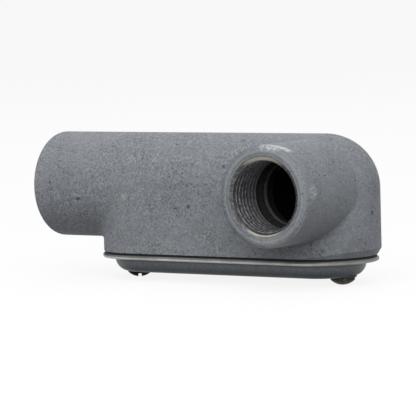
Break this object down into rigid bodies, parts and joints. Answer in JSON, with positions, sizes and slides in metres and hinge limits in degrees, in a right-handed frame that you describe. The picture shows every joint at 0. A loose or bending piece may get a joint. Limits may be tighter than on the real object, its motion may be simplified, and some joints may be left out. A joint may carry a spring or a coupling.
{
  "type": "conduit body",
  "caption": "Elbow conduit body with a round back, a threaded hub at one end, a threaded side hub near the other, and a domed cover screwed over a gasket.",
  "frame": {"origin": "centre of the end hub's mouth, on the hub's axis", "axes": "+X runs from the end hub into the body, the side hub opens along -Y, and +Z is the round back, so the cover faces -Z"},
  "size_m": [0.1273, 0.0569, 0.0503],
  "materials": {
    "body_enamel": "aluminium-grey enamel over pitted sand-cast malleable iron, bare metal on the hub chamfers and threads",
    "gasket_rubber": "matt black neoprene",
    "cover_steel": "stamped sheet steel, semi-gloss blue-grey",
    "screw_steel": "dark bronze-tinted steel",
    "nut_steel": "dull zinc-plated steel"
  },
  "bodies": {
    "body": {"conduit_body": "body_enamel", "gasket": "gasket_rubber", "cover": "cover_steel"},
    "screw_hub_end": {"cover_screw_hub_end": "screw_steel"},
    "screw_far_end": {"cover_screw_far_end": "screw_steel"},
    "nut_hub_end": {"wedge_nut_hub_end": "nut_steel"},
    "nut_far_end": {"wedge_nut_far_end": "nut_steel"}
  },
  "joints": [
    {"name": "screw_hub_end_turn", "type": "hinge", "parent": "body", "child": "screw_hub_end", "pos_m": [0.0322, 0, -0.0294], "axis": [0, 0, -1], "range_deg": [0, 1080]},
    {"name": "screw_far_end_turn", "type": "hinge", "parent": "body", "child": "screw_far_end", "pos_m": [0.115, 0, -0.0294], "axis": [0, 0, -1], "range_deg": [0, 1080]},
    {"name": "nut_hub_end_lift", "type": "slide", "parent": "body", "child": "nut_hub_end", "axis": [0, 0, 1], "range_m": [0, 0.00238]},
    {"name": "nut_far_end_lift", "type": "slide", "parent": "body", "child": "nut_far_end", "axis": [0, 0, 1], "range_m": [0, 0.00238]}
  ],
  "couplings": [
    {"joint": "screw_hub_end_turn", "follows": "nut_hub_end_lift", "rad_per_m": 7915.8},
    {"joint": "screw_far_end_turn", "follows": "nut_far_end_lift", "rad_per_m": 7915.8}
  ]
}
